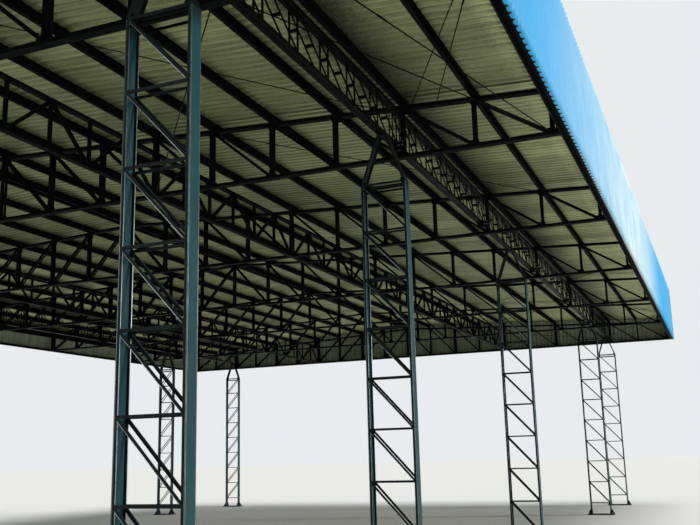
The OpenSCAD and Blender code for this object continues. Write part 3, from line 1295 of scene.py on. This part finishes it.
@dataclass
class GirderPlates:
    """End plates and bolts that tie the girders to the uprights of the trusses."""

    plan: Plan
    plate: float = 0.012
    out: float = 0.19
    plate_h: float = 0.11
    bolt: float = 0.02
    bolt_x: tuple[float, float] = (0.1, 0.165)
    bolt_z: float = 0.032

    def build(self, finish: Finishes) -> None:
        """Adds an end plate with four bolts at each end of each stretch of bottom chord.

        Args:
            finish: The materials.
        """
        p = self.plan
        plates, bolts = Shape(), Shape()
        half = p.chord_w / 2
        ends = [(y - half, -1.0) for y in p.truss_y[1:]] + [(y + half, 1.0) for y in p.truss_y[:-1]]
        for side, (y, s) in product(SIDES, ends):
            x, z = side * p.girder_x, p.girder_low
            near, far = sorted((-side * s * p.girder_w / 2, side * s * self.out))
            profile = box_profile(near, far, self.plate_h)
            a, b = spread(x, y + s * np.array([HAIR, self.plate]), z)
            plates.prisms(profile, a, b, X_WAY * s)
            xs, zs = x + side * np.repeat(self.bolt_x, 2), z + self.bolt_z * np.tile(SIDES, 2)
            add_bolts(bolts, spread(xs, b[1], zs), Y_WAY * s, self.bolt)
        plates.piece("girder_end_plates", finish.girder, Slot.STEEL)
        bolts.piece("girder_bolts", finish.zinc, Slot.STEEL)


@dataclass(frozen=True)
class Ribs:
    """Section of a trapezoidal sheet: ribs with a crest between two flanks."""

    pitch: float = 0.1835
    flat: float = 0.1
    flank: float = 0.023
    depth: float = 0.04
    per_sheet: int = 5
    t: float = 0.0012
    lap: float = 0.0018
    wave: float = 0.0012
    waves: tuple[float, float, float, float, float] = (4.9, 1.7, 1.3, 2.1, 5.3)

    def sheets(self, start: float, end: float) -> list[tuple[np.ndarray, np.ndarray]]:
        """Fold lines of the sheets that cover a stretch.

        Each sheet has one crest more than its cover, which lies over the first crest of the next.
        The height of a fold is the flat's or the crest's, plus the lap times the share of the sheet
        that has passed. The pitch is drawn a little so that whole ribs fill the stretch.

        Args:
            start: Start of the stretch.
            end: End of the stretch.

        Returns:
            Position and height of each fold, sheet by sheet.
        """
        crest = self.pitch - self.flat - 2 * self.flank
        tail = 0.5 * self.flat + 2 * self.flank + crest
        count = round((end - start - tail) / (self.pitch * self.per_sheet))
        pitch = (end - start - tail) / (count * self.per_sheet)
        rib = 0.5 * self.flat + np.cumsum([0.0, self.flank, crest, self.flank])
        folds = (rib[None, :] + pitch * np.arange(self.per_sheet + 1)[:, None]).ravel()
        folds = np.concatenate([[0.0], folds])
        heights = np.tile([0.0, self.depth, self.depth, 0.0], self.per_sheet + 1)
        heights = np.concatenate([[0.0], heights]) + self.lap * folds / folds[-1]
        return [(start + j * self.per_sheet * pitch + folds, heights) for j in range(count)]

    def flats(self, start: float, end: float) -> np.ndarray:
        """Middles of the flats between the ribs, where screws go.

        Args:
            start: Start of the stretch.
            end: End of the stretch.

        Returns:
            Position of each middle.
        """
        sheets = self.sheets(start, end)
        folds = sheets[0][0]
        # Four folds make a rib, after the one at the sheet's edge.
        pitch = folds[5] - folds[1]
        return start + pitch * np.arange(1, len(sheets) * self.per_sheet)

    def wobble(self, down: np.ndarray, along: np.ndarray) -> np.ndarray:
        """Slight unevenness of thin sheets: crossing waves that never push below the flats.

        With a to e as the waves, it is 1 + 0.6 sin(a down + b along) sin(c along)
        + 0.4 sin(d down - e along), times the height of a wave.

        Args:
            down: Position along the ribs.
            along: Position across the ribs.

        Returns:
            Height of the unevenness.
        """
        a, b, c, d, e = self.waves
        crossing = np.sin(a * down + b * along) * np.sin(c * along)
        return self.wave * (1.0 + 0.6 * crossing + 0.4 * np.sin(d * down - e * along))


@dataclass
class RoofSheets:
    """Profiled sheets of the two roof slopes, with a ridge cap and screws."""

    plan: Plan
    ribs: Ribs = Ribs()
    clear: float = 0.0025
    rows: int = 21
    cap_half: float = 0.24
    cap_lip: float = 0.022
    cap_drop: float = 0.012
    cap_points: int = 14
    screw_up: float = 0.01
    washer: float = 0.0015

    def on_slope(
        self, s: float | np.ndarray, y: float | np.ndarray, h: float | np.ndarray, side: float
    ) -> np.ndarray:
        """Points over a roof slope.

        X is s cos a + h sin a and Z is h cos a - s sin a above the ridge, where a is the fall.

        Args:
            s: Distance down the slope.
            y: Station along the canopy.
            h: Height over the tops of the trusses, square to the slope.
            side: 1 on the right, -1 on the left.

        Returns:
            Points in space.
        """
        p = self.plan
        a = math.radians(p.roof_fall)
        x = s * math.cos(a) + h * math.sin(a)
        z = p.top_z(0.0) + p.chord_h / 2 + h * math.cos(a) - s * math.sin(a)
        return spread(side * x, y, z)

    def build(self, finish: Finishes) -> None:
        """Adds the sheets, the ridge cap and the screws.

        Args:
            finish: The materials.
        """
        p = self.plan
        a = math.radians(p.roof_fall)
        start = -p.purlin_h * math.tan(a) + 2 * HAIR
        end = (p.tip_x - 0.004 - (p.purlin_h + p.sheet_t) * math.sin(a)) / math.cos(a)
        edge = p.run / 2 + p.chord_w / 2
        down = np.linspace(start, end, self.rows)[:, None]
        for side, name in ((1.0, "right"), (-1.0, "left")):
            shape = Shape()
            s = down if side > 0 else down[::-1]
            for y, height in self.ribs.sheets(-edge, edge):
                h = p.purlin_h + self.clear + height + self.ribs.wobble(s, y)
                outer = self.on_slope(s, y, h + self.ribs.t, side)
                shape.shell(outer, self.on_slope(s, y, h, side))
            shape.piece(f"{name}_roof_ribs", finish.roof, Slot.ROOF, f"{name}_roof_sheets")
        self.trim(finish, start, edge)

    def trim(self, finish: Finishes, top: float, edge: float) -> None:
        """Adds the ridge cap and a screw in every second flat over each purlin.

        Args:
            finish: The materials.
            top: Distance down the slope where the sheets start.
            edge: Half the length of the roof.
        """
        p = self.plan
        cap, screws = Shape(), Shape()
        seat = p.purlin_h + self.clear + self.ribs.t
        high = seat + self.ribs.depth + self.ribs.lap + 2 * self.ribs.wave
        s = np.array([top, self.cap_half / 2, self.cap_half, self.cap_half + self.cap_lip])[:, None]
        h = high + np.array([0.0, 0.0, 0.0, -self.cap_drop])[:, None]
        y = np.linspace(-edge + 0.002, edge - 0.002, self.cap_points)
        flats = self.ribs.flats(-edge, edge)[1::2]
        for side in (1.0, -1.0):
            order = slice(None, None, int(side))
            outer = self.on_slope(s[order], y, h[order] + self.ribs.t, side)
            cap.shell(outer, self.on_slope(s[order], y, h[order], side))
            normal = self.on_slope(0.0, 0.0, 1.0, side) - self.on_slope(0.0, 0.0, 0.0, side)
            for i in range(1, p.half_panels + 1):
                level = p.half_w - (p.half_panels - i) * p.panel
                down = level / math.cos(math.radians(p.roof_fall)) - self.screw_up
                seats = self.on_slope(down, flats, seat + self.washer, side)
                add_screws(screws, seats, normal)
        cap.piece("ridge_cap", finish.roof, Slot.ROOF)
        screws.piece("roof_screws", finish.zinc, Slot.ROOF)


@dataclass
class Fascia:
    """Profiled sheets of the fascia, with corner flashings and screws."""

    plan: Plan
    ribs: Ribs = Ribs(lap=0.0016, waves=(3.1, 0.9, 2.3, 5.2, 1.9))
    rows: int = 13
    margin: float = 2 * HAIR
    clear: float = 0.002
    seat: float = 0.0045
    no_screw: float = 0.15
    flashing: float = 0.12

    @property
    def end_y(self) -> float:
        """Inner face of the sheets of the two ends."""
        p = self.plan
        return p.run / 2 + p.chord_w / 2 + p.post_depth + p.rail_w

    def build(self, finish: Finishes) -> None:
        """Adds the four faces, the flashings and the screws.

        Args:
            finish: The materials.
        """
        p = self.plan
        long, wide = self.end_y + p.sheet_t, p.sheet_x
        screws = Shape()
        faces = (
            ("right", Y_WAY, X_WAY, long, p.sheet_x),
            ("left", -Y_WAY, -X_WAY, long, p.sheet_x),
            ("near", X_WAY, -Y_WAY, wide, self.end_y),
            ("far", -X_WAY, Y_WAY, wide, self.end_y),
        )
        low, high = p.under + self.margin, p.under + p.fascia_h - self.margin
        z = np.linspace(high, low, self.rows)[:, None]
        for name, along, out, half, depth in faces:
            shape = Shape()
            start, end = self.margin - half, half - self.margin
            for run, height in self.ribs.sheets(start, end):
                d = depth + self.clear + height + self.ribs.wobble(z, run)
                inner = along * run[:, None] + out * d[..., None] + Z_WAY * z[..., None]
                shape.shell(inner + out * self.ribs.t, inner)
            shape.piece(
                f"{name}_fascia_ribs",
                finish.fascia,
                Slot.FASCIA,
                f"{name}_fascia",
                lining=finish.back,
            )
            spots = self.ribs.flats(start, end)[1::2]
            spots = spots[np.abs(spots) < half - self.no_screw]
            for level in p.rail_z:
                seats = along * spots[:, None] + out * (depth + self.seat) + Z_WAY * level
                add_screws(screws, seats, out)
        screws.piece("fascia_screws", finish.zinc, Slot.FASCIA)
        self.corners(finish)

    def corners(self, finish: Finishes) -> None:
        """Adds an angle flashing up each corner.

        Args:
            finish: The materials.
        """
        p = self.plan
        shape = Shape()
        profile = angle_profile(self.flashing, self.flashing, self.ribs.t)
        out_x, out_y = p.sheet_x + p.sheet_t - HAIR, self.end_y + p.sheet_t - HAIR
        levels = p.under + np.array([0.002, p.fascia_h - 0.002])
        for sx, sy in product(SIDES, SIDES):
            ends = spread(sx * out_x, sy * out_y, levels)
            a, b = ends if sx * sy > 0 else ends[::-1]
            shape.prisms(profile, a, b, -sx * X_WAY)
        shape.piece("corner_flashings", finish.fascia, Slot.FASCIA)


@dataclass
class BracingRods:
    """Thin rods that brace the roof in plan, with turnbuckles."""

    plan: Plan
    radius: float = 0.009
    buckle_at: float = 1.1

    def at(self, n: int) -> float:
        """Distance from the middle to a panel point.

        Args:
            n: Number of the panel point, counted from the edge.

        Returns:
            The distance.
        """
        return self.plan.half_w - n * self.plan.panel

    def top(self, x: float) -> float:
        """Level of a rod's end at the top chord.

        Args:
            x: Distance from the middle.

        Returns:
            The level.
        """
        return self.plan.top_z(x) - 0.01

    def lines(self) -> np.ndarray:
        """Ends of the rods on the right at the near end.

        Levels are those of the bottom chord or of the top chord where the rod meets it. Places that
        stand as numbers were measured in the photo.

        Returns:
            Rods x two ends x (x, y, z).
        """
        p = self.plan
        y = p.truss_y
        low, at, top = p.chord_level + 0.01, self.at, self.top
        return np.array([
            [[11.36, y[1], low], [at(0), y[2], low]],
            [[at(2), y[1], low + 0.01], [at(0), y[2], low + 0.02]],
            [[12.75, -15.74, 8.25], [10.39, y[2], top(10.39)]],
            [[12.75, -15.60, 8.27], [10.85, y[2], top(10.85)]],
            [[at(6), y[1], top(at(6))], [9.92, y[2], top(9.92)]],
            [[at(5), y[2], top(at(5))], [at(1), y[3], top(at(1))]],
            [[at(1), y[0], low], [at(6), y[2], low]],
        ])

    def build(self, finish: Finishes) -> None:
        """Adds the rods at both ends of both sides, each with a turnbuckle.

        Args:
            finish: The materials.
        """
        lines = self.lines()
        # Outline of a turnbuckle: the radius of each ring and its place along the rod.
        rings = np.stack([circle(r, 8) for r in (0.010, 0.012, 0.014, 0.014, 0.012, 0.010)])
        heights = np.array([0.0, 0.004, 0.03, 0.19, 0.216, 0.22])
        rods, buckles = Shape(), Shape()
        for sx, sy in product(SIDES, SIDES):
            ends = lines * np.array([sx, sy, 1.0])
            a, b = ends[:, 0], ends[:, 1]
            rods.prisms(circle(self.radius, 8), a, b, Z_WAY)
            way = unit(b - a)
            buckles.rings(heights, rings, a + way * self.buckle_at, way)
        rods.piece("bracing_rods", finish.dark, Slot.STEEL)
        buckles.piece("turnbuckles", finish.dark, Slot.STEEL)


@dataclass
class Studio:
    """Floor, lamps, world and camera."""

    lens: float = 45.67
    sensor: float = 36.0
    sight: float = 800.0
    eye: Point = (14.886, -25.021, 2.437)
    yaw: float = 22.299
    pitch: float = 12.357
    roll: float = -1.467
    floor_colour: Colour = srgb(226, 226, 221)
    sky: Colour = srgb(232, 236, 238)
    air: Colour = (0.93, 0.96, 1.0)
    fill: float = 0.2
    key: float = 2.2
    key_spread: float = 0.16
    key_way: Point = (-0.93, -0.22, -0.26)
    high: float = 2.2
    high_spread: float = 0.7
    high_way: Point = (-0.25, 0.1, -0.96)
    floor_half: float = 300.0

    def camera(self) -> None:
        """Puts the camera where the photograph was taken from."""
        cam = bpy.data.cameras.new("camera")
        cam.lens = self.lens
        cam.sensor_width = self.sensor
        cam.clip_end = self.sight
        obj = bpy.data.objects.new("camera", cam)
        bpy.context.scene.collection.objects.link(obj)
        y, p, r = (math.radians(v) for v in (self.yaw, self.pitch, self.roll))
        ahead = Vector((-math.sin(y) * math.cos(p), math.cos(y) * math.cos(p), math.sin(p)))
        level = Vector((math.cos(y), math.sin(y), 0.0))
        above = level.cross(ahead)
        right = math.cos(r) * level + math.sin(r) * above
        up = -math.sin(r) * level + math.cos(r) * above
        turn = Matrix((right, up, -ahead)).transposed().to_4x4()
        obj.matrix_world = Matrix.Translation(self.eye) @ turn
        bpy.context.scene.camera = obj

    def world(self) -> None:
        """Soft even light, and a pale backdrop for the camera and for reflections."""
        world = bpy.data.worlds.new("studio")
        world.use_nodes = True
        tree = world.node_tree
        light = tree.nodes["Background"]
        light.inputs["Color"].default_value = (*self.air, 1.0)
        light.inputs["Strength"].default_value = self.fill
        backdrop = tree.nodes.new("ShaderNodeBackground")
        backdrop.inputs["Color"].default_value = (*self.sky, 1.0)
        path = tree.nodes.new("ShaderNodeLightPath")
        seen = path.outputs["Is Camera Ray"]
        for name in ("Is Glossy Ray", "Is Transmission Ray"):
            either = tree.nodes.new("ShaderNodeMath")
            either.operation = "MAXIMUM"
            tree.links.new(seen, either.inputs[0])
            tree.links.new(path.outputs[name], either.inputs[1])
            seen = either.outputs[0]
        mixed = tree.nodes.new("ShaderNodeMixShader")
        tree.links.new(seen, mixed.inputs[0])
        tree.links.new(light.outputs[0], mixed.inputs[1])
        tree.links.new(backdrop.outputs[0], mixed.inputs[2])
        tree.links.new(mixed.outputs[0], tree.nodes["World Output"].inputs["Surface"])
        bpy.context.scene.world = world
        bpy.context.scene.view_settings.view_transform = "Standard"

    def floor(self) -> None:
        """A plain pale floor that runs out to the backdrop."""
        g = Graph("floor")
        g.shader.inputs["Base Color"].default_value = (*self.floor_colour, 1.0)
        g.shader.inputs["Roughness"].default_value = 0.9
        mesh = bpy.data.meshes.new("floor")
        s, z = self.floor_half, -0.001
        mesh.from_pydata([(-s, -s, z), (s, -s, z), (s, s, z), (-s, s, z)], [], [(0, 1, 2, 3)])
        mesh.materials.append(g.material)
        obj = bpy.data.objects.new("floor", mesh)
        bpy.context.scene.collection.objects.link(obj)

    def lamps(self) -> None:
        """A low soft key from the right and a wide one from above."""
        lights = (
            ("key", self.key, self.key_spread, self.key_way),
            ("high", self.high, self.high_spread, self.high_way),
        )
        for name, energy, angle, way in lights:
            lamp = bpy.data.lights.new(name, "SUN")
            lamp.energy = energy
            lamp.angle = angle
            obj = bpy.data.objects.new(name, lamp)
            obj.rotation_euler = Vector(way).to_track_quat("-Z", "Y").to_euler()
            bpy.context.scene.collection.objects.link(obj)


def dress(nodes: dict[str, bpy.types.Object], finish: Finishes) -> None:
    """Gives every CAD node its finish.

    Args:
        nodes: The CAD nodes' objects by name.
        finish: The materials.
    """
    for name, obj in nodes.items():
        # Painted shade: CAD steel other than the columns and girders takes the near-black copy of
        # the paint.
        material = finish.dark
        if "column" in name:
            material = finish.steel
        elif "girder" in name:
            material = finish.girder
        elif name.endswith("roof_sheets"):
            material = finish.roof
        elif name.endswith("fascia"):
            material = finish.fascia
        for mat_slot in obj.material_slots:
            mat_slot.material = material
        LOG.info("%s: %s", name, material.name)


def main() -> None:
    """Builds the canopy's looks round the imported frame."""
    logging.basicConfig(level=logging.INFO)
    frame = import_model()
    studio = Studio()
    studio.camera()
    studio.world()
    studio.floor()
    studio.lamps()
    finish = Finishes.made()
    dress(frame["nodes"], finish)
    bars = TrussBars(PLAN)
    bars.legs(finish)
    bars.battens(finish)
    bars.gussets(finish)
    PurlinCleats(PLAN).build(finish)
    ColumnFittings(PLAN).build(finish)
    GirderPlates(PLAN).build(finish)
    RoofSheets(PLAN).build(finish)
    Fascia(PLAN).build(finish)
    BracingRods(PLAN).build(finish)


if __name__ == "__main__":
    main()
